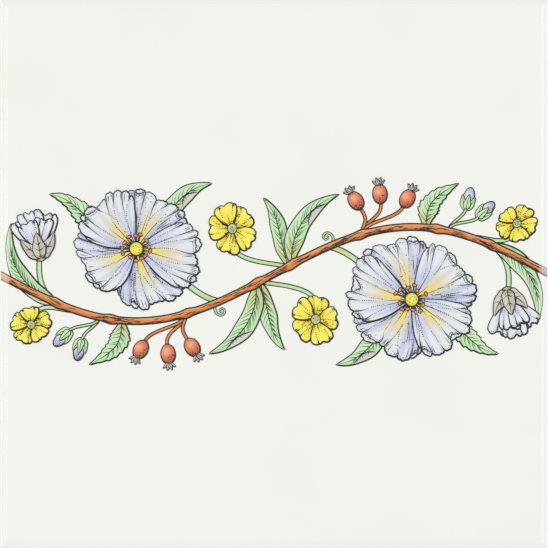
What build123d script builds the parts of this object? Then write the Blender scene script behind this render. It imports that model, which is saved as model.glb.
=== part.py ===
"""A square dust-pressed ceramic border tile of the 6 inch size, lying on its back, glazed face up.

The tile is one fired piece. Its face is flat, and all round it rolls off in a shallow cushion to a
small rounded arris and an upright edge. The cushions of neighbouring sides meet in a mitre at each
corner. The back has a bevelled rim and a pressed key: sunk pockets between the ribs of a lattice.

Frame: millimetres, +Z up out of the glazed face, +X along the run of the border, +Y up the wall.
The origin is on the bedding plane, under the middle of the tile.
"""

import os
from math import asin, degrees

from build123d import *

# Overall size
tile_width = 152.0  # along the run of the border, X
tile_height = 152.0  # across the run, Y
tile_thickness = 7.0  # bedding plane to glazed face

# Rim of the glazed face
cushion_width = 3.0  # from the upright edge in to where the face is flat
cushion_radius = 5.0  # the roll-off, tangent to the face
arris_radius = 0.6  # small round between the cushion and the upright edge
corner_radius = 1.2  # the tile's corners, seen from above

# Back of the tile
back_bevel = 0.8  # 45 degree bevel round the bedding plane
margin_width = 6.0  # least plain band between the bevel and the outermost pockets
rib_width = 3.0  # lattice rib, on the bedding plane
pocket_width = 20.0  # pocket mouth, on the bedding plane
pocket_depth = 0.55
pocket_corner_radius = 2.0  # at the pocket's mouth
pocket_wall_slope = 40.0  # degrees from upright, so that the press lets go of the tile


def edge_section(span):
    """The section across one span: flat face, cushion, arris, upright edge and back bevel."""
    half = span / 2
    slope = degrees(asin((cushion_width - arris_radius) / (cushion_radius - arris_radius)))
    with BuildSketch(Plane.XZ) as section:
        with BuildLine():
            face = Line((0, tile_thickness), (half - cushion_width, tile_thickness))
            cushion = JernArc(face @ 1, face % 1, cushion_radius, -slope)
            arris = JernArc(cushion @ 1, cushion % 1, arris_radius, slope - 90)
            Polyline(arris @ 1, (half, back_bevel), (half - back_bevel, 0), (0, 0))
            mirror(about=Plane.YZ)
        make_face()
    return section.sketch


def pressed_body():
    """The tile without its back key: two crossed sections, which mitre the cushions, and rounded corners."""
    along_run = extrude(edge_section(tile_width), tile_height / 2, both=True)
    across_run = Rot(Z=90) * extrude(edge_section(tile_height), tile_width / 2, both=True)
    outline = extrude(RectangleRounded(tile_width, tile_height, corner_radius), tile_thickness)
    return along_run & across_run & outline


def pockets_in(span):
    """How many pockets fit across one span inside the plain margins."""
    room = span - 2 * (back_bevel + margin_width)
    return int((room + rib_width) // (pocket_width + rib_width))


def back_key():
    """The pockets of the key, each narrowing towards its floor, on a square grid about the middle."""
    mouth = RectangleRounded(pocket_width, pocket_width, pocket_corner_radius)
    pocket = extrude(mouth, pocket_depth, taper=pocket_wall_slope)
    pitch = pocket_width + rib_width
    return GridLocations(pitch, pitch, pockets_in(tile_width), pockets_in(tile_height)) * pocket


border_tile = pressed_body() - back_key()

os.makedirs("parts", exist_ok=True)
export_step(border_tile, "parts/border_tile.step")
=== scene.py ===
from math import cos, pi, radians, sin
from random import Random

import bpy
import numpy as np
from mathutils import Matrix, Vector
from mathutils.bvhtree import BVHTree


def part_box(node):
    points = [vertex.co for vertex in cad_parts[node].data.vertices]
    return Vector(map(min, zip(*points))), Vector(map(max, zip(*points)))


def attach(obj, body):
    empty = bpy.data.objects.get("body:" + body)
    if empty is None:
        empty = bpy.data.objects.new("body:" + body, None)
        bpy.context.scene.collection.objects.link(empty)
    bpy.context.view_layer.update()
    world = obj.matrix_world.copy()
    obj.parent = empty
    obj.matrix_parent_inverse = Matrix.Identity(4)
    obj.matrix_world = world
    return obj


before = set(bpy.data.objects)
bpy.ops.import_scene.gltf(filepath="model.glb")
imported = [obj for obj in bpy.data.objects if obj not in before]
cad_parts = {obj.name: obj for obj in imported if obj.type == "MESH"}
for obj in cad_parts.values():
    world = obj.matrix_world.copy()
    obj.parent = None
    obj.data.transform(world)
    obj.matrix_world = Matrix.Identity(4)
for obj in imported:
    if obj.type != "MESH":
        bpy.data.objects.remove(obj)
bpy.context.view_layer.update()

scene = bpy.context.scene
scene.view_settings.view_transform = "Standard"
mm = 0.001

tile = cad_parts["border_tile"]
tileLow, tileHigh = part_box("border_tile")
tileWidth = (tileHigh.x - tileLow.x) / mm
tileCorners = [v.co for v in tile.data.vertices]
flatHalf = max(co.x for co in tileCorners if co.z > tileHigh.z - 1e-6) / mm  # where the cushion starts
tileTree = BVHTree.FromPolygons(tileCorners, [p.vertices for p in tile.data.polygons])
print("tile", round(tileWidth, 2), "mm wide, face flat to", round(flatHalf, 2), "mm from the middle")


# Materials

def hexColour(code):
    channels = [int(code[k:k + 2], 16) / 255 for k in (1, 3, 5)]
    linear = [c / 12.92 if c <= 0.04045 else ((c + 0.055) / 1.055) ** 2.4 for c in channels]
    return (*linear, 1.0)


# One node with its settings, its links and its fixed values
def addNode(tree, kind, inputs=None, **settings):
    node = tree.nodes.new(kind)
    for name, value in settings.items():
        setattr(node, name, value)
    for key, value in (inputs or {}).items():
        if isinstance(value, bpy.types.NodeSocket):
            tree.links.new(value, node.inputs[key])
        else:
            node.inputs[key].default_value = value
    return node


def newMaterial(name):
    material = bpy.data.materials.new(name)
    material.use_nodes = True
    material.node_tree.nodes.clear()
    return material, material.node_tree


glazedBody = {
    "glaze": "#F1F2EC",
    "glazeThin": "#EDEBE1",  # where the glaze thins and the body shows through a little
    "biscuit": "#E9E0CF",
    "biscuitDeep": "#D8CCB4",
    "glazeRoughness": 0.08,
    "glazeIor": 1.52,
    "biscuitRoughness": 0.88,
    "glazeLine": 2.3 * mm,  # the glaze runs down the edges to about this height
    "lineWander": 1.0 * mm,
    "lineSoftness": 0.18 * mm,
    "noiseSpan": (0.25, 0.75),  # what the line's noise mostly keeps within
    "thinFrom": (0.5, 0.8),  # noise between which the glaze thins, and how far it does
    "thinShare": 0.35,
    "peelDepth": 0.0022 * mm,
    "grainDepth": 0.03 * mm,
    "patterns": {  # size of each unevenness, and its detail
        "wander": (7.0 * mm, 3.0),
        "pool": (30.0 * mm, 2.0),  # slow unevenness of the glaze
        "peel": (1.8 * mm, 1.0),  # orange peel
        "grain": (0.45 * mm, 4.0),  # pressed clay, drawn about twice as coarse as it is so that it shows
    },
}


# Tin-white gloss glaze over a cream earthenware biscuit: a wet, even face with sharp small highlights on
# its rim, and a dry sandy body on the back and the foot of the edges, where the glaze stops in a
# wandering line
def glazedCeramic(g):
    material, tree = newMaterial("gloss_glaze_on_biscuit")
    place = addNode(tree, "ShaderNodeTexCoord").outputs["Object"]
    height = addNode(tree, "ShaderNodeSeparateXYZ", {0: place}).outputs["Z"]
    pattern = {}
    for name, (length, detail) in g["patterns"].items():
        noise = addNode(tree, "ShaderNodeTexNoise", {
            "Vector": place, "Scale": 1 / length, "Detail": detail, "Roughness": 0.55})
        pattern[name] = noise.outputs["Fac"]

    low, high = g["noiseSpan"]
    wander = addNode(tree, "ShaderNodeMapRange", {
        "Value": pattern["wander"], "From Min": low, "From Max": high,
        "To Min": g["glazeLine"] - g["lineWander"], "To Max": g["glazeLine"] + g["lineWander"]})
    above = addNode(tree, "ShaderNodeMath", {0: height, 1: wander.outputs[0]}, operation="SUBTRACT")
    glazed = addNode(tree, "ShaderNodeMapRange", {
        "Value": above.outputs[0], "From Min": -g["lineSoftness"], "From Max": g["lineSoftness"]},
        interpolation_type="SMOOTHSTEP").outputs[0]

    low, high = g["thinFrom"]
    pool = addNode(tree, "ShaderNodeMapRange", {
        "Value": pattern["pool"], "From Min": low, "From Max": high, "To Max": g["thinShare"]})
    glazeColour = addNode(tree, "ShaderNodeMix", {
        0: pool.outputs[0], 6: hexColour(g["glaze"]), 7: hexColour(g["glazeThin"])}, data_type="RGBA")
    biscuitColour = addNode(tree, "ShaderNodeMix", {
        0: pattern["grain"], 6: hexColour(g["biscuitDeep"]), 7: hexColour(g["biscuit"])}, data_type="RGBA")
    colour = addNode(tree, "ShaderNodeMix", {
        0: glazed, 6: biscuitColour.outputs[2], 7: glazeColour.outputs[2]}, data_type="RGBA")
    roughness = addNode(tree, "ShaderNodeMapRange", {
        "Value": glazed, "To Min": g["biscuitRoughness"], "To Max": g["glazeRoughness"]})

    peel = addNode(tree, "ShaderNodeMath", {0: pattern["peel"], 1: g["peelDepth"]}, operation="MULTIPLY")
    sand = addNode(tree, "ShaderNodeMath", {0: pattern["grain"], 1: g["grainDepth"]}, operation="MULTIPLY")
    relief = addNode(tree, "ShaderNodeMix", {0: glazed, 2: sand.outputs[0], 3: peel.outputs[0]})
    bump = addNode(tree, "ShaderNodeBump", {"Height": relief.outputs[0], "Distance": 1.0, "Strength": 1.0})
    shader = addNode(tree, "ShaderNodeBsdfPrincipled", {
        "Base Color": colour.outputs[2], "Roughness": roughness.outputs[0], "IOR": g["glazeIor"],
        "Normal": bump.outputs["Normal"]})
    addNode(tree, "ShaderNodeOutputMaterial", {"Surface": shader.outputs[0]})
    return material


printFinish = {
    "ior": 1.5,
    "roughness": 0.16,
    "wash": (5.0 * mm, 0.16),  # size and strength: the colour gathers and thins, as a wash does
    "screen": (0.30 * mm, 0.12),  # grain of the printing screen
    "thinFrom": (flatHalf - 0.3) * mm,  # the print fades towards the glaze between these distances from the middle: partly thin enamel, partly a painted sheen
    "thinAndSheenTo": (flatHalf + 0.7) * mm,
    "thin": 0.32,  # and it loses this share of its colour: partly thin enamel, partly a painted reflection of the cushion's sheen
}

printColours = {
    "lilac": ("#E4E9EA", "#CACFE4", "#A4AACF", "#F2DC54"),  # pale, full, deep, and the flush at the base
    "yellow": ("#FCF27C", "#F4E54C", "#DCC23A", "#C08A2A"),
    "green": ("#D2EDC5", "#BCE4AB", "#8EC280", "#C8AE4A"),
    "rust": ("#EDA789", "#DD7C57", "#B35232", "#F2C08C"),
    "brown": ("#F0AC6C", "#DF7E3C", "#9E5626", "#B09A48"),
    "grey": ("#D8D3C8", "#BFB9AC", "#979082", "#B0AA66"),
}


# Fired enamel is glossy. Over the cushion it fades to the glaze: partly starved enamel, partly painted
# sheen
def enamelSurface(tree, place, colour, thin, roughness):
    p = printFinish
    across = addNode(tree, "ShaderNodeSeparateXYZ", {0: place}).outputs["X"]
    outward = addNode(tree, "ShaderNodeMath", {0: across}, operation="ABSOLUTE")
    # fades the colour to the glaze over the cushion: partly thin enamel, partly a painted sheen
    thinAndSheenFade = addNode(tree, "ShaderNodeMapRange", {
        "Value": outward.outputs[0], "From Min": p["thinFrom"], "From Max": p["thinAndSheenTo"], "To Max": thin},
        interpolation_type="SMOOTHSTEP")
    shown = addNode(tree, "ShaderNodeMix", {
        0: thinAndSheenFade.outputs[0], 6: colour, 7: hexColour(glazedBody["glaze"])}, data_type="RGBA")
    shader = addNode(tree, "ShaderNodeBsdfPrincipled", {
        "Base Color": shown.outputs[2], "Roughness": roughness, "IOR": p["ior"]})
    addNode(tree, "ShaderNodeOutputMaterial", {"Surface": shader.outputs[0]})


# On-glaze enamel, screen printed and fired: thin glossy colour that pales and deepens like a wash.
# The mesh says how deep it lies at each point, and how far the second colour flushes in
def washEnamel(name, pale, full, deep, flush):
    p = printFinish
    material, tree = newMaterial("onglaze_enamel_" + name)
    place = addNode(tree, "ShaderNodeTexCoord").outputs["Object"]
    depth = addNode(tree, "ShaderNodeAttribute", attribute_name="depth").outputs["Fac"]
    warmth = addNode(tree, "ShaderNodeAttribute", attribute_name="flush").outputs["Fac"]
    for length, amount in (p["wash"], p["screen"]):
        noise = addNode(tree, "ShaderNodeTexNoise", {"Vector": place, "Scale": 1 / length, "Detail": 2.0})
        swing = addNode(tree, "ShaderNodeMapRange", {
            "Value": noise.outputs["Fac"], "To Min": -amount, "To Max": amount})
        swung = addNode(tree, "ShaderNodeMath", {0: depth, 1: swing.outputs[0]}, operation="ADD")
        depth = swung.outputs[0]
    ramp = addNode(tree, "ShaderNodeValToRGB", {"Fac": depth})
    ramp.color_ramp.elements[0].color = hexColour(pale)
    ramp.color_ramp.elements[1].color = hexColour(deep)
    ramp.color_ramp.elements.new(0.5).color = hexColour(full)
    warmed = addNode(tree, "ShaderNodeMix", {
        0: warmth, 6: ramp.outputs["Color"], 7: hexColour(flush)}, data_type="RGBA")
    enamelSurface(tree, place, warmed.outputs[2], p["thin"], p["roughness"])
    return material


inkFinish = {
    "dark": "#1D1E21",
    "worn": "#404146",
    "wornFrom": (0.45, 0.8),  # noise between which the line wears
    "patchLength": 1.6 * mm,
    "roughness": 0.28,
    # share of colour lost over the cushion: partly thin enamel, partly a painted sheen
    "thin": 0.26,
}


# Black-grey outline enamel, printed last: a little starved in places, where the glaze shows through it
def outlineEnamel(k):
    material, tree = newMaterial("onglaze_enamel_outline")
    place = addNode(tree, "ShaderNodeTexCoord").outputs["Object"]
    patch = addNode(tree, "ShaderNodeTexNoise", {
        "Vector": place, "Scale": 1 / k["patchLength"], "Detail": 3.0})
    low, high = k["wornFrom"]
    worn = addNode(tree, "ShaderNodeMapRange", {
        "Value": patch.outputs["Fac"], "From Min": low, "From Max": high})
    line = addNode(tree, "ShaderNodeMix", {
        0: worn.outputs[0], 6: hexColour(k["dark"]), 7: hexColour(k["worn"])}, data_type="RGBA")
    enamelSurface(tree, place, line.outputs[2], k["thin"], k["roughness"])
    return material


tile.data.materials.clear()
tile.data.materials.append(glazedCeramic(glazedBody))
print("tile glazed")


# Drawing tools. The band is drawn in millimetres about the middle of the face, x along the run and y up

drawing = {"fills": {}, "contours": [], "hatching": [], "dots": []}
pen = {
    "side": 1,  # -1 draws a spray turned half round
    "light": np.array((-0.6, 0.8)),  # the drawn light falls from the upper left
    "outline": 0.39,  # line widths in mm
    "fold": 0.31,
    "vein": 0.23,
    "weight": 0.35,  # how much heavier an outline is on its shaded side
    "tip": 0.3,  # share of its width at which a tapering line ends
    "taper": 0.7,  # the lower, the sooner it swells from there
    "dot": 0.18,  # radius
    "dotRange": (0.75, 1.2),
}
stacking = {  # layers of enamel, each over those below it
    "stalk": 1,
    "stalkStep": 0.4,  # from one stalk of a cluster to the next
    "tendril": 2,
    "stem": 2.5,
    "head": 3,  # blossoms, cups, hips and buds
    "leafStep": 0.5,  # from one small leaf on a head to the next
}


def ease(start, end, value):
    t = np.clip((value - start) / (end - start), 0, 1)
    return t * t * (3 - 2 * t)


def between(span, share):
    low, high = span
    return low + (high - low) * share


def unit(vectors):
    return vectors / np.maximum(np.linalg.norm(vectors, axis=-1, keepdims=True), 1e-9)


def along(heading, length=1.0):
    return np.array((cos(radians(heading)), sin(radians(heading)))) * length


def bezier(controls, count):
    a, b, c, d = np.array(controls, float)
    t = np.linspace(0, 1, count)[:, None]
    return a * (1 - t) ** 3 + 3 * b * t * (1 - t) ** 2 + 3 * c * t ** 2 * (1 - t) + d * t ** 3


# Grid of shares along a ribbon, 0 to 1, and across it, -1 to 1
def sheet(rows, columns):
    return np.meshgrid(np.linspace(0, 1, rows), np.linspace(-1, 1, columns), indexing="ij")


# Tone across something round, from its right side to its left
def roundTone(tone, v):
    return between(tone, (v + 1) / 2)


def addFill(colour, layer, grid, depth, flush=0.0):
    shape = grid.shape[:2]
    depth = np.broadcast_to(np.clip(depth, 0, 1), shape)
    flush = np.broadcast_to(flush, shape)
    drawing["fills"].setdefault(colour, []).append((grid * pen["side"], depth, flush, layer))


# tips are the shares of its length over which the line tapers at its start and end
def ink(points, layer, kind, heavy=1.0, tips=(0.0, 0.0), weighted=False):
    points = np.asarray(points) * pen["side"]
    run = np.concatenate(([0], np.cumsum(np.linalg.norm(np.diff(points, axis=0), axis=1))))
    run = run / run[-1]
    press = np.full(len(run), heavy)
    for share, distance in zip(tips, (run, 1 - run)):
        if share:
            press *= np.maximum(np.clip(distance / share, 0, 1) ** pen["taper"], pen["tip"])
    if weighted:
        press *= 1 - pen["weight"] * (unit(points - points.mean(axis=0)) @ pen["light"])
    drawing["hatching" if kind == "vein" else "contours"].append((points, pen[kind] / 2 * press, layer))


def addDots(rng, points, layer, size=1.0):
    for point in np.reshape(points, (-1, 2)) * pen["side"]:
        drawing["dots"].append((*point, pen["dot"] * size * rng.uniform(*pen["dotRange"]), layer))


# The point at share t of a path and v of its half width to the left. A ribbon that is cut upright at its
# ends is measured straight up instead
def ribbonSpot(path, half, upright=False):
    share = np.linspace(0, 1, len(path))
    tangent = unit(np.gradient(path, axis=0))
    reach = np.stack((-tangent[:, 1] * half, tangent[:, 0] * half), axis=1)
    if upright:
        reach = np.stack((0 * half, half / tangent[:, 0]), axis=1)

    def spot(t, v):
        t, v = np.broadcast_arrays(np.asarray(t, float), np.asarray(v, float))
        return np.stack([np.interp(t, share, path[:, k]) + np.interp(t, share, reach[:, k]) * v
                         for k in (0, 1)], axis=-1)
    return spot


# A flat oval on its long axis: a boss, an anther, a hip or a closed bud. Its points crowd towards its
# ends, and the ends stay a little blunt, so that no two corners meet
def ovalSpot(place, heading, length, width, blunt=0.05):
    turn = pi * np.linspace(0, 1, 31)
    path = place(along(heading, length / 2) * -np.cos(turn)[:, None])
    return ribbonSpot(path, width / 2 * np.maximum(np.sin(turn), blunt))


def outlineOf(spot, count=31):
    t = np.linspace(0, 1, count)
    return np.concatenate((spot(t, 1), spot(t[::-1], -1), spot(t[:1], 1)))


flap = {
    "points": 22,
    "rings": 5,
    "inset": 0.03,  # share of the edge left at each end
    "skew": (0.75, 1.35),  # where its deepest point lies
    "arch": 0.8,  # the lower, the squarer it is
    "tone": (0.03, 0.37),  # at the roll and at the lip
    "dotted": slice(3, -3, 2),  # which of its points have a dot before them, and which a stroke
    "hatched": slice(5, -4, 3),
    "dotGap": 0.035,
    "hatchReach": (0.3, 0.6),
    "hatchLean": 0.06,
    "lift": 0.5,  # layers over what it belongs to
}


# A length of edge that rolls over and shows its other face. edgeSpot takes the share along it and how far
# in from it
def drawFlap(rng, edgeSpot, colour, layer, deepest):
    share = np.linspace(flap["inset"], 1 - flap["inset"], flap["points"])
    arch = deepest * np.sin(pi * share ** rng.uniform(*flap["skew"])) ** flap["arch"]
    w = np.linspace(0, 1, flap["rings"])[:, None]
    top = layer + flap["lift"]
    addFill(colour, top, edgeSpot(share + 0 * w, arch * (1 - w)), between(flap["tone"], (1 - w) ** 2))
    ink(edgeSpot(share, arch), top, "fold", tips=(0.15, 0.15))
    ink(edgeSpot(share, 0 * share), top, "outline")
    addDots(rng, edgeSpot(share[flap["dotted"]], arch[flap["dotted"]] + flap["dotGap"]), layer, size=0.8)
    w = np.linspace(0, 1, 5)
    for place, depth in zip(share[flap["hatched"]], arch[flap["hatched"]]):
        lean = flap["hatchLean"] * w * rng.uniform(-1, 1)
        reach = rng.uniform(*flap["hatchReach"])
        ink(edgeSpot(place + lean, depth * (1 - reach * w)), top, "vein", tips=(0, 0.7))


# Petals. Lengths are shares of the petal's reach, angles are in degrees

ruffled = {  # the large blossom
    "colour": "lilac", "spread": 48, "bend": 10, "rimPoints": 201, "rings": 14, "inner": 0.07,
    "lobes": 9, "frill": 0.06, "notch": 0.09, "outlineTo": 0.985,
    "rimDepth": 0.05, "bodyDepth": 0.55, "baseDepth": 0.6, "bodyFrom": (0.95, 0.3), "ripple": 0.24,
    "overlap": 0.5,
    "flush": 1.0, "flushSpread": 0.19, "flushReach": (0.2, 0.95),
    "foldReach": (0.12, 0.42), "veins": 6, "veinReach": (0.09, 0.34, 0.72), "throat": 9,
    "flaps": 2, "flapDepth": (0.07, 0.12), "shade": 7, "stipple": 45, "rimRows": 0.55,
}
furled = ruffled | {  # the same petals on a bud that opens
    "spread": 24, "bend": 6, "rimPoints": 101, "rings": 10, "inner": 0.2, "lobes": 3, "outlineTo": 0.9,
    "bodyDepth": 0.6, "baseDepth": 0.85, "flush": 0.3, "veins": 3, "veinReach": (0.45, 0.6, 0.85),
    "throat": 0, "flaps": 0, "stipple": 10, "rimRows": 0.3,
}
buttery = {  # the small cups
    "colour": "yellow", "spread": 42, "bend": 5, "rimPoints": 61, "rings": 8, "inner": 0.1,
    "lobes": 3, "frill": 0.035, "notch": 0.1, "outlineTo": 0.985,
    "rimDepth": 0.2, "bodyDepth": 0.5, "baseDepth": 0.95, "bodyFrom": (1.0, 0.5), "ripple": 0.1,
    "overlap": 0.35,
    "flush": 0.6, "flushSpread": 0.9, "flushReach": (0.08, 0.5),
    "foldReach": (0.15, 0.3), "veins": 3, "veinReach": (0.2, 0.5, 0.75), "throat": 0,
    "flaps": 0, "shade": 3, "stipple": 8, "rimRows": 0.0,
}
fan = {  # what every petal shares
    "end": 0.985,  # the rim runs between -1 and 1 and stops just short of the throat
    "square": 6,  # how squarely its sides turn into its rim
    "notchWidth": 0.16,
    "ruffleTo": 0.72,
    "ruffleFade": (0.85, 0.6),
    "stray": 0.28,  # how unevenly the cusps stand
    "swell": (0.5, 1.45),
    "scallops": (2, 3, 3),
    "scallopDepth": 0.28,
    "lobeRound": 0.6,  # the lower, the squarer its lobes
    "sink": 0.55,  # how far the cusps lie in from the rim
    "stiff": 5,  # the higher, the sooner a ruffle dies away from the rim
    "baseFrom": (0.35, 0.05),  # up the petal, where its base deepens and where its ripples show
    "rippleFrom": (0.2, 0.85),
    "overlapFrom": (0.05, 0.5),  # across it, where a neighbour shades it
}


# A fan from the throat at the origin: wedge sides, a notched rim, and rounded lobes between sharp cusps
def petalShape(rng, place, heading, reach, craft):
    tau = np.linspace(-fan["end"], fan["end"], craft["rimPoints"])
    s = np.sin(pi / 2 * tau)
    theta = np.radians(heading + craft["spread"] * s)
    notch = 1 - craft["notch"] * np.exp(-(s / fan["notchWidth"]) ** 2)
    radius = reach * np.sqrt(1 - np.abs(s) ** fan["square"]) * notch
    outward = np.stack((np.cos(theta), np.sin(theta)), axis=1)
    lobes = craft["lobes"]
    gap = 2 * fan["ruffleTo"] / lobes
    cusps = [-fan["ruffleTo"] + gap * (k + rng.uniform(-1, 1) * fan["stray"]) for k in range(lobes + 1)]
    cusps = np.array(cusps)
    lobe = np.clip(np.searchsorted(cusps, tau) - 1, 0, lobes - 1)
    phase = np.clip((tau - cusps[lobe]) / (cusps[lobe + 1] - cusps[lobe]), 0, 1)
    swell = np.array([rng.uniform(*fan["swell"]) for _ in range(lobes)])[lobe] * craft["frill"] * reach
    scallops = np.array([rng.choice(fan["scallops"]) for _ in range(lobes)])[lobe]
    ripples = fan["scallopDepth"] * np.abs(np.sin(pi * scallops * phase))
    crimp = swell * (np.sin(pi * phase) ** fan["lobeRound"] - fan["sink"] + ripples)
    crimp *= ease(*fan["ruffleFade"], np.abs(tau))
    bend = radians(rng.uniform(-1, 1) * craft["bend"])

    def spot(u, t):
        u, t = np.broadcast_arrays(np.asarray(u, float), np.asarray(t, float))
        x, y = [np.interp(t, tau, outward[:, k] * radius) * u
                + np.interp(t, tau, outward[:, k] * crimp) * u ** fan["stiff"] for k in (0, 1)]
        turn = bend * (x ** 2 + y ** 2) / reach ** 2
        c, s = np.cos(turn), np.sin(turn)
        return place(np.stack((x * c - y * s, x * s + y * c), axis=-1))
    return {"spot": spot, "tau": tau, "cusps": cusps, "valley": np.cos(2 * pi * phase), "reach": reach}


def petalWash(petal, craft, layer, covered):
    u, t = np.meshgrid(np.linspace(craft["inner"], 1, craft["rings"]), petal["tau"], indexing="ij")
    depth = between((craft["rimDepth"], craft["bodyDepth"]), ease(*craft["bodyFrom"], u))
    depth += (craft["baseDepth"] - craft["bodyDepth"]) * ease(*fan["baseFrom"], u)
    depth += craft["ripple"] * np.interp(t, petal["tau"], petal["valley"]) * ease(*fan["rippleFrom"], u)
    for sign in covered:
        depth += craft["overlap"] * ease(*fan["overlapFrom"], sign * t)
    near, far = craft["flushReach"]
    flush = craft["flush"] * np.exp(-(t / craft["flushSpread"]) ** 2) * ease(far, near, u)
    addFill(craft["colour"], layer, petal["spot"](u, t), depth, flush)


petalLines = {
    "foldDrift": 0.08,
    "trail": (0.04, 0.26),  # dots carry a fold on between these distances from its end
    "trailStop": 0.25,
    "trailGap": 0.6,  # mm
    "besideCount": (1, 3),
    "beside": (0.022, 0.024),  # how far off the first stroke beside a fold stands, and the next from it
    "besideFrom": 0.97,
    "besideReach": (0.25, 0.5),
    "veinSpan": 0.55,
    "veinStray": 0.06,
    "veinFan": 0.25,
    "throatSpan": 0.6,
    "throatStray": 0.04,
    "throatReach": (0.17, 0.3),
}


def petalInk(rng, petal, craft, layer):
    spot, p = petal["spot"], petalLines
    shown = petal["tau"][np.abs(petal["tau"]) <= craft["outlineTo"] + 1e-6]
    ink(spot(1, shown), layer, "outline", tips=(0.02, 0.02), weighted=True)
    for cusp in petal["cusps"][1:-1]:  # a fold runs in from each cusp and dies out in dots
        depth = rng.uniform(*craft["foldReach"])
        drift = rng.uniform(-1, 1) * p["foldDrift"]
        u = np.linspace(1, 1 - depth, 10)
        ink(spot(u, cusp + drift * ((1 - u) / depth) ** 2), layer, "fold", tips=(0, 0.75))
        first, last = [1 - depth - distance for distance in p["trail"]]
        trail = np.arange(first, max(last, p["trailStop"]), -p["trailGap"] / petal["reach"])
        addDots(rng, spot(trail, cusp + drift * ((1 - trail) / depth)), layer, size=0.8)
        near, step = p["beside"]
        for k in range(rng.randint(*p["besideCount"])):  # short strokes in the shade of the fold
            aside = cusp + (near + step * k) * rng.choice((-1, 1))
            u = np.linspace(p["besideFrom"], p["besideFrom"] - depth * rng.uniform(*p["besideReach"]), 5)
            ink(spot(u, aside), layer, "vein", tips=(0.3, 0.7))
    start, near, far = craft["veinReach"]
    for t in np.linspace(-p["veinSpan"], p["veinSpan"], craft["veins"]):
        t = t + rng.uniform(-1, 1) * p["veinStray"]
        u = np.linspace(start, rng.uniform(near, far), 9)
        ink(spot(u, t * (1 + p["veinFan"] * u)), layer, "vein", tips=(0, 0.7))
    for t in np.linspace(-p["throatSpan"], p["throatSpan"], craft["throat"]):
        u = np.linspace(start, rng.uniform(*p["throatReach"]), 5)
        ink(spot(u, t + rng.uniform(-1, 1) * p["throatStray"]), layer, "vein", tips=(0, 0.6))


petalTone = {  # places up the petal, and across it as shares of its half width
    "hatchAcross": (0.22, 0.46),
    "hatchFrom": (0.25, 0.55),
    "hatchReach": (0.12, 0.3),
    "hatchFan": 0.06,
    "shadeUp": (0.3, 0.93),
    "shadeAcross": (0.1, 0.48),
    "throatUp": (0.1, 0.4),
    "throatCrowd": 1.5,  # the higher, the nearer the throat its dots crowd
    "throatAcross": 0.8,
    "rows": np.arange(-0.8, 0.7, 0.17),  # where dotted lines may start beside the rim
    "rowLength": (0.1, 0.2),
    "rowGap": 0.7,  # mm
    "rowUp": 0.965,
    "rowStray": 0.03,
    "rowSag": 0.25,
}


# Hatching where a neighbour lies over the petal, dots in its shade or round the throat, and dotted lines
# beside the rim
def petalShade(rng, petal, craft, layer, covered):
    spot, p = petal["spot"], petalTone
    for sign in covered:
        for t in np.linspace(*p["hatchAcross"], craft["shade"]):
            low = rng.uniform(*p["hatchFrom"])
            u = np.linspace(low, low + rng.uniform(*p["hatchReach"]), 6)
            ink(spot(u, sign * (t + p["hatchFan"] * u)), layer, "vein", tips=(0.3, 0.5))
    for _ in range(craft["stipple"]):
        u = between(p["throatUp"], rng.random() ** p["throatCrowd"])
        t = rng.uniform(-1, 1) * p["throatAcross"]
        if covered:
            u = rng.uniform(*p["shadeUp"])
            t = rng.choice(covered) * rng.uniform(*p["shadeAcross"])
        addDots(rng, spot(u, t), layer, size=0.75)
    for start in p["rows"]:
        if rng.random() < craft["rimRows"]:
            t = np.arange(start, start + rng.uniform(*p["rowLength"]), p["rowGap"] / petal["reach"])
            u = p["rowUp"] - p["rowSag"] * (t - start) ** 2 - p["rowStray"] * rng.random()
            addDots(rng, spot(u, t), layer, size=0.8)


def drawPetal(rng, place, heading, reach, layer, craft, covered=()):
    petal = petalShape(rng, place, heading, reach, craft)
    petalWash(petal, craft, layer, covered)
    petalInk(rng, petal, craft, layer)
    petalShade(rng, petal, craft, layer, covered)
    for lobe in rng.sample(range(1, craft["lobes"] - 1), craft["flaps"]):
        ends = petal["cusps"][lobe:lobe + 2]
        drawFlap(rng, lambda share, inward: petal["spot"](1 - inward, between(ends, share)),
                 craft["colour"], layer, rng.uniform(*craft["flapDepth"]))


fivePetals = {
    "layers": (0, 3, 1, 4, 2),  # round the flower: two lie over both neighbours and two under
    "size": (0.93, 1.04),
    "stray": 3,  # degrees
}


def drawPetals(rng, place, reach, turn, layer, craft):
    layers = fivePetals["layers"]
    count = len(layers)
    for k, level in enumerate(layers):
        covered = [sign for sign in (-1, 1) if layers[(k + sign) % count] > level]
        size = reach * rng.uniform(*fivePetals["size"])
        heading = turn + 360 * k / count + rng.uniform(-1, 1) * fivePetals["stray"]
        drawPetal(rng, place, heading, size, layer + level, craft, covered)
    return layer + count


# Blossoms lean a little away, so a flower's round is drawn narrower one way
def leaning(centre, axis, narrow):
    a = along(axis)
    lean = narrow * np.outer(a, a) + np.eye(2) - np.outer(a, a)
    return lambda points: np.asarray(centre) + np.asarray(points) @ lean


stamens = {  # lengths in mm
    "count": 13,
    "stray": 0.25,  # share of the gap between two
    "root": 1.0,
    "reach": (3.0, 4.8),
    "anther": (1.3, 0.85),
    "antherTurn": (60, 120),  # degrees off its thread
    "antherTone": (0.25, 0.55),
    "antherLift": (0.3, 0.04),  # layers over the petals, and each a hair over the last
}
boss = {
    "radius": 1.9,
    "tone": (0.2, 0.9),  # in its middle and at its rim
    "flush": 0.35,
    "flushFrom": 0.3,
    "dots": 9,
    "dotReach": (0.3, 0.7),
}


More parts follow.
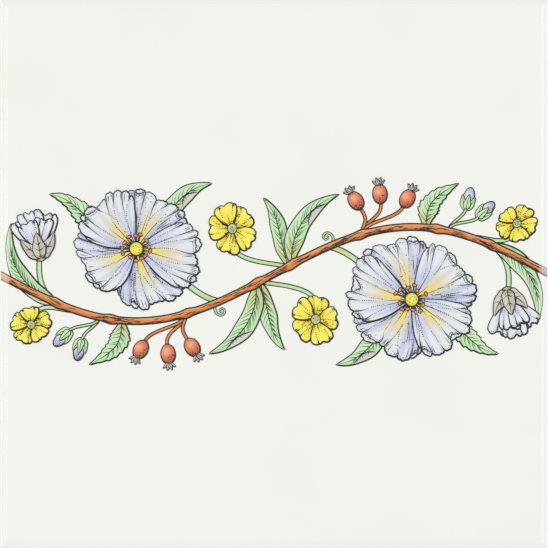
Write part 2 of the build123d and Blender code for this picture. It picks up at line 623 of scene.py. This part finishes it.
def drawBlossom(rng, flower, layer):
    place = leaning(flower["at"], *flower["lean"])
    top = drawPetals(rng, place, flower["reach"], flower["turn"], layer, ruffled)
    lift, step = stamens["antherLift"]
    for k in range(stamens["count"]):
        heading = 360 * (k + rng.uniform(-1, 1) * stamens["stray"]) / stamens["count"]
        root, tip = along(heading, stamens["root"]), along(heading, rng.uniform(*stamens["reach"]))
        ink(place(np.linspace(root, tip, 4)), top, "vein")
        turn = heading + rng.uniform(*stamens["antherTurn"])
        spot = ovalSpot(lambda p: p + place(tip), turn, *stamens["anther"])
        t, v = sheet(9, 5)
        own = top + lift + step * k
        addFill("brown", own, spot(t, v), between(stamens["antherTone"], ease(-1, 1, v)))
        ink(outlineOf(spot, 9), own, "vein")
    top += 1
    spot = ovalSpot(place, 0, 2 * boss["radius"], 2 * boss["radius"])
    t, v = sheet(31, 9)
    fromMiddle = np.cos(pi * t) ** 2 + (v * np.sin(pi * t)) ** 2
    flush = boss["flush"] * ease(boss["flushFrom"], 1, fromMiddle)
    addFill("yellow", top, spot(t, v), between(boss["tone"], fromMiddle), flush)
    ink(outlineOf(spot), top, "fold")
    for k in range(boss["dots"]):
        dot = along(360 * k / boss["dots"], boss["radius"] * rng.uniform(*boss["dotReach"]))
        addDots(rng, place(dot), top, size=0.9)


eyeOfCup = {  # lengths as shares of the eye's, and the eye's as a share of the cup's
    "size": 0.2,
    "tone": (0.3, 0.9),
    "flush": 0.4,
    "rays": 13,  # each of one dot outside the eye and one in it
    "stray": 0.3,
    "outside": (1.35, 1.9),
    "inside": (0.2, 0.8),
}


def drawButtercup(rng, cup, layer):
    e = eyeOfCup
    place = leaning(cup["at"], *cup["lean"])
    top = drawPetals(rng, place, cup["reach"], cup["turn"], layer, buttery)
    radius = e["size"] * cup["reach"]
    spot = ovalSpot(place, 0, 2 * radius, 2 * radius)
    t, v = sheet(15, 7)
    addFill("green", top, spot(t, v), roundTone(e["tone"], v), e["flush"])
    ink(outlineOf(spot, 15), top, "vein")
    for k in range(e["rays"]):
        heading = 360 * (k + rng.uniform(-1, 1) * e["stray"]) / e["rays"]
        for reach, size in ((e["outside"], 0.95), (e["inside"], 0.7)):
            addDots(rng, place(along(heading, radius * rng.uniform(*reach))), top, size)


# Leaves, stalks and stem

leafCraft = {
    "points": 15,  # the least, on a small leaf
    "pointsPerMm": 1.6,
    "pointsPerTooth": 9,
    "across": 9,
    "belly": 0.75,  # the lower, the nearer its base the leaf is widest
    "full": 0.9,  # the lower, the blunter its ends
    "tip": 0.05,  # mm
    "wave": 0.06,
    "waves": 2.3,
    "tooth": 0.22,
    "toothless": (0.08, 0.25),
    "tone": 0.28,
    "shadedHalf": 0.26,
    "shadedFrom": (-0.2, 0.2),  # across the midrib
    "paleEdge": 0.2,
    "deepBase": 0.25,
    "deepTo": 0.25,  # up the leaf
    "flushTo": 0.45,
    "fineness": (0.45, 9.0),  # least weight of a small leaf's lines, and the width that adds a whole one
    "weight": 0.2,  # how much heavier the shaded edge is
    "midrib": (0.03, 0.97),
    "veinSpacing": 2.2,  # mm
    "veinFrom": 3.0,  # a narrower leaf has no side veins
    "veinSpan": (0.1, 0.68),  # the first one's place, and the length that they share
    "veinStray": 0.2,
    "veinRise": 0.13,  # how far one runs up the leaf, and across it
    "veinReach": (0.62, 0.9),
    "veinBend": 1.3,  # the higher, the later it turns up the leaf
    "veinPress": 0.82,
    "hatch": 1,
    "hatchGap": 0.025,
    "hatchRise": 0.06,
    "hatchAcross": (0.08, 0.34),
    "turnedDepth": 0.9,
}


# turned gives the shares of the length between which the shaded edge rolls over and shows its grey back
def drawLeaf(rng, controls, width, layer, colour="green", flush=0.55, teeth=0, turned=None):
    c = leafCraft
    length = np.linalg.norm(np.diff(bezier(controls, 12), axis=0), axis=1).sum()
    points = max(c["points"], int(length * c["pointsPerMm"]), c["pointsPerTooth"] * teeth)
    t = np.linspace(0, 1, points)
    half = width / 2 * np.sin(pi * t ** c["belly"]) ** c["full"]
    half *= 1 + c["wave"] * np.sin(2 * pi * (c["waves"] * t + rng.random()))
    if teeth:
        half *= 1 + c["tooth"] * (t * teeth % 1 - 0.5) * ease(*c["toothless"], t)
    spot = ribbonSpot(bezier(controls, points), half + c["tip"])
    shaded = 1 if (spot(0.5, 0) - spot(0.5, 1)) @ pen["light"] * pen["side"] > 0 else -1
    tt, vv = sheet(points, c["across"])
    depth = c["tone"] + c["shadedHalf"] * ease(*c["shadedFrom"], shaded * vv)
    depth += c["deepBase"] * ease(c["deepTo"], 0, tt) - c["paleEdge"] * np.abs(vv)
    addFill(colour, layer, spot(tt, vv), depth, flush * ease(c["flushTo"], 0, tt))
    least, gain = c["fineness"]
    fine = min(1.0, least + width / gain)
    for sign in (-1, 1):
        ink(spot(t, sign), layer, "outline", (1 + c["weight"] * shaded * sign) * fine, tips=(0.05, 0.03))
    ink(spot(np.linspace(*c["midrib"], 16), 0), layer, "fold", fine, tips=(0, 0.4))
    count = int(length / c["veinSpacing"]) if width > c["veinFrom"] else 0
    w = np.linspace(0.05, 1, 6)
    lowest, span = c["veinSpan"]
    inner, across = c["hatchAcross"]
    for k in range(count):
        start = lowest + span * (k + rng.uniform(-1, 1) * c["veinStray"]) / count
        for sign in (-1, 1):
            end = rng.uniform(*c["veinReach"])
            rise = start + c["veinRise"] * w ** c["veinBend"]
            ink(spot(rise, sign * end * w), layer, "vein", c["veinPress"], tips=(0, 0.6))
        for h in range(c["hatch"]):  # short strokes along the midrib's shaded side
            rise = start + c["hatchGap"] * (h + 1) + c["hatchRise"] * w
            ink(spot(rise, shaded * (inner + across * w)), layer, "vein", c["veinPress"], tips=(0.2, 0.6))
    if turned:
        drawFlap(rng, lambda share, inward: spot(between(turned, share), shaded * (1 - inward)),
                 "grey", layer, c["turnedDepth"])


stalk = {"points": 24, "across": 5, "tone": (0.1, 0.8), "flush": 0.5, "flushTo": 0.5}


def drawStalk(controls, width, layer, colour="green"):
    t, v = sheet(stalk["points"], stalk["across"])
    spot = ribbonSpot(bezier(controls, len(t)), np.full(len(t), width / 2))
    flush = stalk["flush"] * ease(stalk["flushTo"], 0, t)
    addFill(colour, layer, spot(t, v), roundTone(stalk["tone"], v), flush)
    for sign in (-1, 1):
        ink(spot(t[:, 0], sign), layer, "fold")


roundness = {  # lengths as shares of the width
    "shineAt": 0.22,
    "shineSize": 0.2,
    "shine": 0.6,
    "tone": (0.2, 0.95),  # in the shine, and from this distance on
    "deepFrom": 0.85,
    "dots": 70,  # strewn all over, of which those in the shade stay
    "dotsAlong": (0.1, 0.9),
    "dotsAcross": 0.85,
    "shadeFrom": 0.16,
    "leafSetOff": 0.3,  # mm
    "leafSwell": 0.55,
    "leafFlush": 0.3,
}


# A round fruit or a closed bud, lit from the upper left, with its small leaves at one end
def drawDrop(rng, base, heading, drop, layer):
    r = roundness
    length, width, crown = drop["length"], drop["width"], drop["crown"]
    centre = base + along(heading, length / 2)
    spot = ovalSpot(lambda p: p + centre, heading, length, width)
    places = spot(*sheet(31, 9))
    fromShine = (places - centre) * pen["side"] - pen["light"] * r["shineAt"] * width
    fromShine = np.linalg.norm(fromShine, axis=-1) / width
    shine = r["shine"] * np.exp(-(fromShine / r["shineSize"]) ** 2)
    addFill(drop["colour"], layer, places, between(r["tone"], ease(0, r["deepFrom"], fromShine)), shine)
    ink(outlineOf(spot), layer, "outline", heavy=0.95, weighted=True)
    strewn = [spot(rng.uniform(*r["dotsAlong"]), rng.uniform(-1, 1) * r["dotsAcross"])
              for _ in range(r["dots"])]
    shade = [p for p in strewn if (centre - p) @ pen["light"] * pen["side"] > r["shadeFrom"] * width]
    addDots(rng, shade, layer, size=0.75)
    root = base + along(heading, length * crown["at"])
    for k, turn in enumerate(crown["turns"], 1):
        hug = heading + turn * crown["hug"]
        setOff = root + along(hug, r["leafSetOff"])
        swell = root + along(hug, crown["length"] * r["leafSwell"])
        tip = root + along(heading + turn, crown["length"])
        drawLeaf(rng, (root, setOff, swell, tip), crown["width"], layer + stacking["leafStep"] * k,
                 crown["colour"], r["leafFlush"])


stem = {
    "swing": 13.0,  # the wave fits the tile's width once, so that the next tile carries it on
    "width": 1.8,
    "points": 201,
    "margin": 0.6,  # bare glaze left at the tile's edges
    "tone": (0.78, 0.06),
    "underline": 1.25,  # its lower outline's weight
    "knots": (5, 24, 45, 60),
    "knotSwell": 0.4,
    "knotLength": 1.5,
    "barkStrokes": 150,
    "barkFrom": (0.0, 0.97),  # shares of the stem
    "barkLength": (0.008, 0.03),
    "barkAcross": (-0.75, 0.55),
    "barkSway": 0.08,
    "barkBend": 9,  # radians of wave in a stroke
}


def stemAt(x):
    return np.array((x, stem["swing"] * sin(2 * pi * x / tileWidth)))


def drawStem(rng, layer):
    reach = tileWidth / 2 - stem["margin"]
    x = np.linspace(-reach, reach, stem["points"])
    path = np.array([stemAt(place) for place in x])
    half = np.full(len(x), stem["width"] / 2)
    for knot in stem["knots"]:
        half += stem["knotSwell"] * np.exp(-((np.abs(x) - knot) / stem["knotLength"]) ** 2)
    spot = ribbonSpot(path, half, upright=True)
    t, v = sheet(len(x), 9)
    addFill("brown", layer, spot(t, v), roundTone(stem["tone"], v))
    ink(spot(t[:, 0], 1), layer, "outline")
    ink(spot(t[:, 0], -1), layer, "outline", stem["underline"])
    for _ in range(stem["barkStrokes"]):
        start = rng.uniform(*stem["barkFrom"])
        length = rng.uniform(*stem["barkLength"])
        across = rng.uniform(*stem["barkAcross"])
        run = np.linspace(start, start + length, 12)
        sway = stem["barkSway"] * np.sin(stem["barkBend"] * run / length)
        ink(spot(run, across + sway), layer, "vein", tips=(0.3, 0.3))


tendril = {
    "from": 16, "heading": 70, "length": 15, "turns": 1.5, "half": 0.36, "points": 50, "tone": 0.6,
    "tighten": 1.4,  # the higher, the later it curls
    "shorten": 0.8,  # share of its stride, and of its width, lost by its end
    "thin": 0.6,
}


# A curl that tightens as it goes
def drawTendril(curl, layer):
    t, v = sheet(curl["points"], 3)
    s = t[:, 0]
    angle = radians(curl["heading"]) + 2 * pi * curl["turns"] * s ** curl["tighten"]
    stride = curl["length"] * (1 - curl["shorten"] * s) / curl["points"]
    strides = np.stack((np.cos(angle) * stride, np.sin(angle) * stride), axis=1)
    path = stemAt(curl["from"]) + np.cumsum(strides, axis=0)
    spot = ribbonSpot(path, curl["half"] * (1 - curl["thin"] * s))
    addFill("green", layer, spot(t, v), curl["tone"])
    for sign in (-1, 1):
        ink(spot(s, sign), layer, "vein", tips=(0, 0.1))


halfOpen = {  # turn and size of each part, from the back to the front
    "petals": ((-25, 0.95), (23, 0.92), (-1, 1.0), (-13, 0.82), (12, 0.78)),
    "sepals": ((-50, 0.6), (48, 0.56), (-2, 0.5)),
    "sepalWidth": 3.6,
    "sepalRoot": 1.2,  # mm behind the base
    "sepalSwell": (1.3, 0.6),  # shares of its turn and size, at its bend
    "sepalTip": 0.85,
    "sepalFlush": 0.45,
    "cup": (5.6, 4.6),
    "cupAt": 0.8,
    "cupTone": (0.0, 0.7),
    "cupFlush": 0.4,
    "cupFlushTo": 0.6,
}


# A blossom half open, seen from its side: furled petals out of a grey calyx
def drawOpening(rng, bud, layer):
    h = halfOpen
    base, heading, reach = np.array(bud["at"]), bud["heading"], bud["reach"]
    for k, (turn, size) in enumerate(h["petals"]):
        drawPetal(rng, lambda p: base + p, heading + turn, reach * size, layer + k, furled)
    top = layer + len(h["petals"])
    spot = ovalSpot(lambda p: base + along(heading, h["cupAt"]) + p, heading, *h["cup"])
    t, v = sheet(15, 7)
    flush = h["cupFlush"] * ease(h["cupFlushTo"], 0, t)
    addFill("grey", top, spot(t, v), roundTone(h["cupTone"], v), flush)
    ink(outlineOf(spot, 15), top, "fold")
    root = base - along(heading, h["sepalRoot"])
    spread, rise = h["sepalSwell"]
    for k, (turn, size) in enumerate(h["sepals"], 1):
        swell = base + along(heading + turn * spread, reach * size * rise)
        tip = base + along(heading + turn * h["sepalTip"], reach * size)
        drawLeaf(rng, (root, base, swell, tip), h["sepalWidth"], top + stacking["leafStep"] * k,
                 "grey", h["sepalFlush"])


# One spray of the band, to the right of the middle. A curve is given by its start, or by its x alone where
# it starts on the stem, by how it sets off from there, and by its bend and its end
spray = {
    "flower": {"at": (38.0, -7.0), "reach": 17.6, "turn": 100, "lean": (60, 0.9)},
    "cups": (
        {"at": (11.5, -12.5), "reach": 6.9, "turn": 75, "lean": (20, 0.92)},
        {"at": (67.0, 14.0), "reach": 5.7, "turn": 60, "lean": (110, 0.88)},
    ),
    "opening": {"at": (64.5, -5.5), "reach": 12.0, "heading": -78},
    "stalks": (  # curve and width
        ((15, (6, -1), (26, 1), (30, -3)), 1.5),
        ((-4, (6, -1), (12.5, -3.5), (11.5, -9.5)), 1.1),
        ((54, (5, 0), (64, 7), (67, 12)), 1.1),
        ((60, (4, -3), (65.5, 1.5), (64.5, -5.5)), 1.3),
    ),
    "leaves": (  # curve, width, layer, and teeth or a turned edge
        ((5, (-1, 8), (9, 19), (18, 22)), 5.2, 2, {"turned": (0.5, 0.85)}),
        ((42, (0, 6), (43, 21), (51, 25)), 5.2, 1.5, {"teeth": 9}),
        ((60, (6, -2), (75, -1), (72.5, -14)), 4.8, 2, {}),
        (((45, -10), (6, -3), (54, -21), (62, -22)), 5.4, 1.5, {"teeth": 10}),
        (((32, -13), (-4, -5), (25, -24), (17, -25)), 5.2, 1.5, {"turned": (0.45, 0.8)}),
        ((-4, (3, -8), (-2, -16), (3, -21)), 4.4, 1.5, {}),
    ),
    "hips": {
        "from": 24, "setOff": (1, 4), "bend": 4, "stalk": (0.8, "brown"),
        "bases": ((29.5, 19.4, 96), (35.5, 18.4, 62), (24.0, 17.9, 122)),  # and headings
        "colour": "rust", "length": 5.4, "width": 4.0,
        "crown": {"at": 0.97, "turns": (-56, 56, -19, 19), "length": 2.2, "hug": 1.0, "width": 0.95,
                  "colour": "grey"},
    },
    "buds": {
        "from": 48, "setOff": (1, 3), "bend": 3, "stalk": (0.7, "green"),
        "bases": ((53.0, 18.2, 76), (56.5, 15.7, 44)),
        "colour": "lilac", "length": 5.8, "width": 3.0,
        "crown": {"at": -0.04, "turns": (-24, 24, 0), "length": 4.2, "hug": 1.9, "width": 1.8,
                  "colour": "green"},
    },
}


def growth(start, setOff, bend, end):
    root = stemAt(start) if np.isscalar(start) else np.array(start)
    return root, root + setOff, bend, end


def drawSpray(rng, side):
    pen["side"] = side
    for curve, width in spray["stalks"]:
        drawStalk(growth(*curve), width, stacking["stalk"])
    for curve, width, layer, kind in spray["leaves"]:
        drawLeaf(rng, growth(*curve), width, layer, **kind)
    for cluster in (spray["hips"], spray["buds"]):
        width, colour = cluster["stalk"]
        for k, (x, y, heading) in enumerate(cluster["bases"]):
            base = np.array((x, y))
            bend = base - along(heading, cluster["bend"])
            curve = growth(cluster["from"], cluster["setOff"], bend, base)
            drawStalk(curve, width, stacking["stalk"] + stacking["stalkStep"] * k, colour)
            drawDrop(rng, base, heading, cluster, stacking["head"])
    drawBlossom(rng, spray["flower"], stacking["head"])
    for cup in spray["cups"]:
        drawButtercup(rng, cup, stacking["head"])
    drawOpening(rng, spray["opening"], stacking["head"])
    drawTendril(tendril, stacking["tendril"])


seeds = {"stem": 11, "right": 5, "left": 23}
drawStem(Random(seeds["stem"]), stacking["stem"])
drawSpray(Random(seeds["right"]), 1)
drawSpray(Random(seeds["left"]), -1)
print("drawn", sum(map(len, drawing["fills"].values())), "fills", len(drawing["contours"]), "contours",
      len(drawing["hatching"]), "fine lines", len(drawing["dots"]), "dots")


# Laying the print on the glaze

transfer = {
    "step": 0.02,  # each layer of enamel lies this much over the last, in mm
    "sink": 0.02,  # and its foot is fused this far into the glaze
    "strokeFlat": 0.04,  # a stroke's height as a share of its width
    "strokeSides": 4,
    "dotHeight": 0.008,
    "dotTop": 0.5,  # share of a dot's width that is flat on top
    "dotSides": 8,
    "lookFrom": 5,  # mm over the face, from where the glaze's height is looked up
}


def glazeHeight(x, y):
    if max(abs(x), abs(y)) < flatHalf:
        return tileHigh.z / mm
    above = Vector((x, y, tileHigh.z / mm + transfer["lookFrom"])) * mm
    return tileTree.ray_cast(above, Vector((0, 0, -1)))[0].z / mm


def addAttribute(mesh, name, values):
    mesh.attributes.new(name, "FLOAT", "POINT").data.foreach_set("value", np.asarray(values, np.float32))


def addPiece(name, mesh):
    piece = bpy.data.objects.new(name, mesh)
    scene.collection.objects.link(piece)
    return piece


# Every fill is a thin closed pad: its coloured top, a skirt round its outline and a flat foot in the glaze
def layFills(colour):
    corners, faces, smooth, depths, flushes = [], [], [], [], []
    for grid, depth, flush, layer in drawing["fills"][colour]:
        rows, columns = grid.shape[:2]
        index = np.arange(rows * columns).reshape(rows, columns)
        ring = np.concatenate((index[0], index[1:, -1], index[-1, -2::-1], index[-2:0:-1, 0]))
        flat = grid.reshape(-1, 2)
        x, y = flat[ring].T
        if np.sum(x * np.roll(y, -1) - y * np.roll(x, -1)) < 0:  # drawn clockwise, so turned to face up
            index, ring = index[:, ::-1], ring[::-1]
        top = len(corners)
        foot = top + rows * columns
        base = [glazeHeight(*point) for point in flat]
        corners += [(*point, z + layer * transfer["step"]) for point, z in zip(flat, base)]
        corners += [(*flat[k], base[k] - transfer["sink"]) for k in ring]
        quads = np.stack((index[:-1, :-1], index[:-1, 1:], index[1:, 1:], index[1:, :-1]), axis=-1)
        faces += (quads.reshape(-1, 4) + top).tolist()
        smooth += [True] * ((rows - 1) * (columns - 1))
        count = len(ring)
        for k in range(count):
            after = (k + 1) % count
            faces.append((int(top + ring[k]), foot + k, foot + after, int(top + ring[after])))
        faces.append([foot + k for k in reversed(range(count))])
        smooth += [False] * (count + 1)
        depths += [*depth.ravel(), *depth.ravel()[ring]]
        flushes += [*flush.ravel(), *flush.ravel()[ring]]
    mesh = bpy.data.meshes.new("print_" + colour)
    mesh.from_pydata((np.array(corners) * mm).tolist(), [], faces)
    mesh.polygons.foreach_set("use_smooth", smooth)
    addAttribute(mesh, "depth", depths)
    addAttribute(mesh, "flush", flushes)
    mesh.materials.append(washEnamel(colour, *printColours[colour]))
    return addPiece("print_" + colour, mesh)


def newTree(name, sizes):
    tree = bpy.data.node_groups.new(name, "GeometryNodeTree")
    tree.interface.new_socket("Geometry", in_out="INPUT", socket_type="NodeSocketGeometry")
    tree.interface.new_socket("Geometry", in_out="OUTPUT", socket_type="NodeSocketGeometry")
    identifiers = {}
    for title, kind in sizes.items():
        identifiers[title] = tree.interface.new_socket(title, in_out="INPUT", socket_type=kind).identifier
    return tree, addNode(tree, "NodeGroupInput"), identifiers


# Every tree ends as one whole mesh of one material
def endTree(tree, shape, material):
    whole = addNode(tree, "GeometryNodeRealizeInstances", {0: shape})
    inked = addNode(tree, "GeometryNodeSetMaterial", {"Geometry": whole.outputs[0], "Material": material})
    addNode(tree, "NodeGroupOutput", {"Geometry": inked.outputs[0]})


# Pen strokes: each polyline becomes a low ridge, as wide as its points say
def strokeTree(material):
    tree, given, identifiers = newTree("penStrokes", {
        "Flatness": "NodeSocketFloat", "Sides": "NodeSocketInt"})
    width = addNode(tree, "GeometryNodeInputNamedAttribute", {"Name": "halfWidth"}, data_type="FLOAT")
    path = addNode(tree, "GeometryNodeMeshToCurve", {"Mesh": given.outputs["Geometry"]})
    level = addNode(tree, "GeometryNodeSetCurveNormal", {"Curve": path.outputs[0]}, mode="Z_UP")
    nib = addNode(tree, "GeometryNodeCurvePrimitiveCircle", {
        "Resolution": given.outputs["Sides"], "Radius": 1.0})
    flat = addNode(tree, "ShaderNodeCombineXYZ", {"X": 1.0, "Y": given.outputs["Flatness"], "Z": 1.0})
    profile = addNode(tree, "GeometryNodeTransform", {
        "Geometry": nib.outputs["Curve"], "Scale": flat.outputs[0]})
    ridge = addNode(tree, "GeometryNodeCurveToMesh", {
        "Curve": level.outputs[0], "Profile Curve": profile.outputs[0], "Scale": width.outputs[0],
        "Fill Caps": True})
    endTree(tree, ridge.outputs[0], material)
    return tree, identifiers


# Stipple: a low domed dot on each point, as wide as the point says
def stippleTree(material):
    tree, given, identifiers = newTree("stippleDots", {
        "Height": "NodeSocketFloat", "Top": "NodeSocketFloat", "Sides": "NodeSocketInt"})
    radius = addNode(tree, "GeometryNodeInputNamedAttribute", {"Name": "dotRadius"}, data_type="FLOAT")
    dome = addNode(tree, "GeometryNodeMeshCone", {
        "Vertices": given.outputs["Sides"], "Radius Top": given.outputs["Top"], "Radius Bottom": 1.0,
        "Depth": 1.0})
    size = addNode(tree, "ShaderNodeCombineXYZ", {
        "X": radius.outputs[0], "Y": radius.outputs[0], "Z": given.outputs["Height"]})
    dots = addNode(tree, "GeometryNodeInstanceOnPoints", {
        "Points": given.outputs["Geometry"], "Instance": dome.outputs["Mesh"], "Scale": size.outputs[0]})
    endTree(tree, dots.outputs[0], material)
    return tree, identifiers


# Runs a node tree on a guide mesh and keeps what comes out as a plain mesh
def grownPiece(name, guide, made, sizes):
    tree, identifiers = made
    source = addPiece(name + "_guide", guide)
    grower = source.modifiers.new("grow", "NODES")
    grower.node_group = tree
    for title, value in sizes.items():
        grower[identifiers[title]] = value
    graph = bpy.context.evaluated_depsgraph_get()
    mesh = bpy.data.meshes.new_from_object(source.evaluated_get(graph))
    mesh.name = name
    source.modifiers.remove(grower)
    bpy.data.objects.remove(source)
    return addPiece(name, mesh)


def layStrokes(kind, material):
    corners, edges, widths = [], [], []
    for points, half, layer in drawing[kind]:
        first = len(corners)
        corners += [(x, y, glazeHeight(x, y) + layer * transfer["step"]) for x, y in points]
        edges += [(first + k, first + k + 1) for k in range(len(points) - 1)]
        widths += [*(half * mm)]
    guide = bpy.data.meshes.new(kind)
    guide.from_pydata((np.array(corners) * mm).tolist(), edges, [])
    addAttribute(guide, "halfWidth", widths)
    sizes = {"Flatness": transfer["strokeFlat"], "Sides": transfer["strokeSides"]}
    return grownPiece("print_" + kind, guide, strokeTree(material), sizes)


def layDots(material):
    places = [(x, y, glazeHeight(x, y) + layer * transfer["step"]) for x, y, _, layer in drawing["dots"]]
    guide = bpy.data.meshes.new("dots")
    guide.from_pydata((np.array(places) * mm).tolist(), [], [])
    addAttribute(guide, "dotRadius", [radius * mm for _, _, radius, _ in drawing["dots"]])
    sizes = {
        "Height": transfer["dotHeight"] * mm, "Top": transfer["dotTop"], "Sides": transfer["dotSides"]}
    return grownPiece("print_stipple", guide, stippleTree(material), sizes)


outline = outlineEnamel(inkFinish)
printed = [layFills(colour) for colour in drawing["fills"]]
printed += [layStrokes("contours", outline), layStrokes("hatching", outline), layDots(outline)]
for piece in printed:
    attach(piece, "root")
    print(piece.name, sum(len(p.vertices) - 2 for p in piece.data.polygons), "triangles")


# Floor, light and camera

stage = {
    "floor": "#E4E4E1",
    "floorRoughness": 0.7,
    "floorSize": 6.0,  # m
    "floorDrop": 0.02 * mm,  # so that the floor and the tile's back don't share a plane
    "world": 0.79,
    "lampDistance": 0.9,  # m
    "lamps": {  # width and length in m, power in W, and angles from straight above
        "strip": (0.075, 1.2, 0.84, (-65, 68.5)),  # mirrored as a thin line near the left and right edges
        "panel": (0.3, 1.2, 1.1, (-39, 43)),  # mirrored as a soft band further in
    },
    "crop": 0.4 * mm,  # the picture ends this far inside the tile's edges
    "lens": 120,
}


def addFloor(s):
    h, z = s["floorSize"] / 2, -s["floorDrop"]
    mesh = bpy.data.meshes.new("floor")
    mesh.from_pydata([(-h, -h, z), (h, -h, z), (h, h, z), (-h, h, z)], [], [(0, 1, 2, 3)])
    material, tree = newMaterial("painted_board")
    shader = addNode(tree, "ShaderNodeBsdfPrincipled", {
        "Base Color": hexColour(s["floor"]), "Roughness": s["floorRoughness"]})
    addNode(tree, "ShaderNodeOutputMaterial", {"Surface": shader.outputs[0]})
    mesh.materials.append(material)
    addPiece("floor", mesh)


def addLamp(name, width, length, power, angle):
    lamp = bpy.data.lights.new(name, "AREA")
    lamp.shape = "RECTANGLE"
    lamp.size, lamp.size_y = width, length
    lamp.energy = power
    holder = bpy.data.objects.new(name, lamp)
    away = radians(angle)
    holder.location = Vector((sin(away), 0, cos(away))) * stage["lampDistance"]
    holder.rotation_euler = (0, away, 0)
    scene.collection.objects.link(holder)


addFloor(stage)
for name, (width, length, power, angles) in stage["lamps"].items():
    for angle in angles:
        addLamp(name, width, length, power, angle)

world = bpy.data.worlds.new("studio")
world.use_nodes = True
world.node_tree.nodes["Background"].inputs["Color"].default_value = (1, 1, 1, 1)
world.node_tree.nodes["Background"].inputs["Strength"].default_value = stage["world"]
scene.world = world

eye = bpy.data.cameras.new("camera")
eye.lens = stage["lens"]
camera = bpy.data.objects.new("camera", eye)
camera.location.z = tileHigh.z + (tileWidth * mm - 2 * stage["crop"]) * eye.lens / eye.sensor_width
scene.collection.objects.link(camera)
scene.camera = camera
print("stage set")
